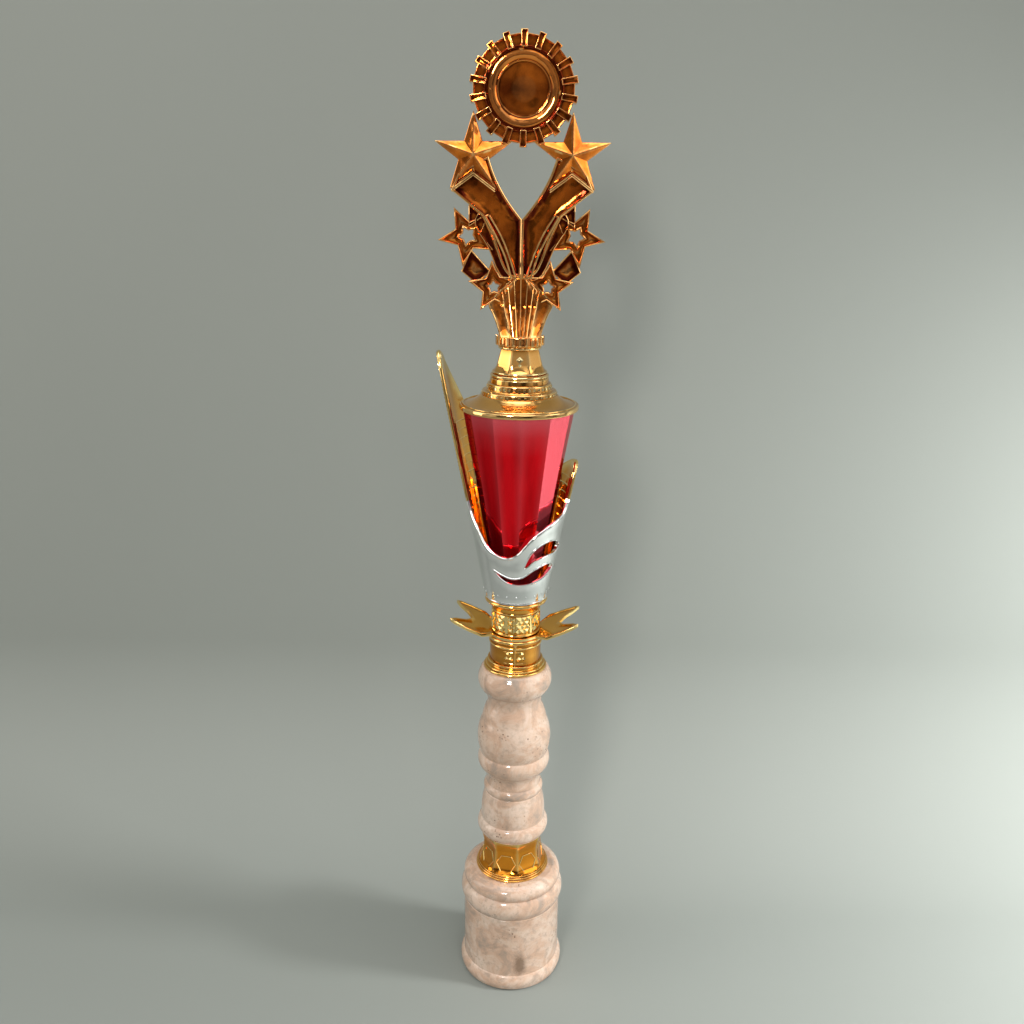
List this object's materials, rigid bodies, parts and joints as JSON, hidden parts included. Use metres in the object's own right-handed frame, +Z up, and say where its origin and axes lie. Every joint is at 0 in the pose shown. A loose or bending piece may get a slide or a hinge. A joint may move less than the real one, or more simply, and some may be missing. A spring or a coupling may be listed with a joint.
{
  "type": "column trophy",
  "caption": "Column trophy: turned stone base and column, gilded collars, leaf crown, slotted sleeve round a faceted cup, lid and a turning star figure.",
  "frame": {"origin": "middle of the underside of the felt pad, where the trophy stands", "axes": "+Z up along the tie rod; the figure faces -Y; +X to the figure's left as seen by someone it faces"},
  "size_m": [0.0828, 0.0606, 0.5105],
  "materials": {
    "stone": "polished beige marble with grey-brown mottling",
    "felt": "matt baize",
    "steel": "zinc plated, satin",
    "brass": "machined, satin",
    "gold": "vacuum-metallised warm gold, mirror gloss",
    "pale_gold": "vacuum-metallised pale gold, mirror gloss",
    "amber_gold": "vacuum-metallised deep amber gold, mirror gloss",
    "silver": "vacuum-metallised silver outside and gold inside, gloss",
    "red": "vacuum-metallised red, mirror gloss"
  },
  "bodies": {
    "stand": {"felt_pad": "felt", "base_stone": "stone", "base_washer": "steel", "base_spring_washer": "steel", "base_nut": "steel", "tie_rod": "steel", "base_collar": "gold", "column_stone": "stone", "spool_collar": "gold", "leaf_crown": "gold", "cup_socket": "gold", "sleeve": "silver", "cup": "red", "cup_washer": "steel", "cup_spring_washer": "steel", "cup_nut": "steel", "lid": "pale_gold", "neck": "pale_gold"},
    "figure": {"figure": "amber_gold", "figure_insert": "brass"}
  },
  "joints": [
    {"name": "figure_turn", "type": "hinge", "parent": "stand", "child": "figure", "pos_m": [0, 0, 0.3691], "axis": [0, 0, 1], "range_deg": [-180, 180]}
  ]
}
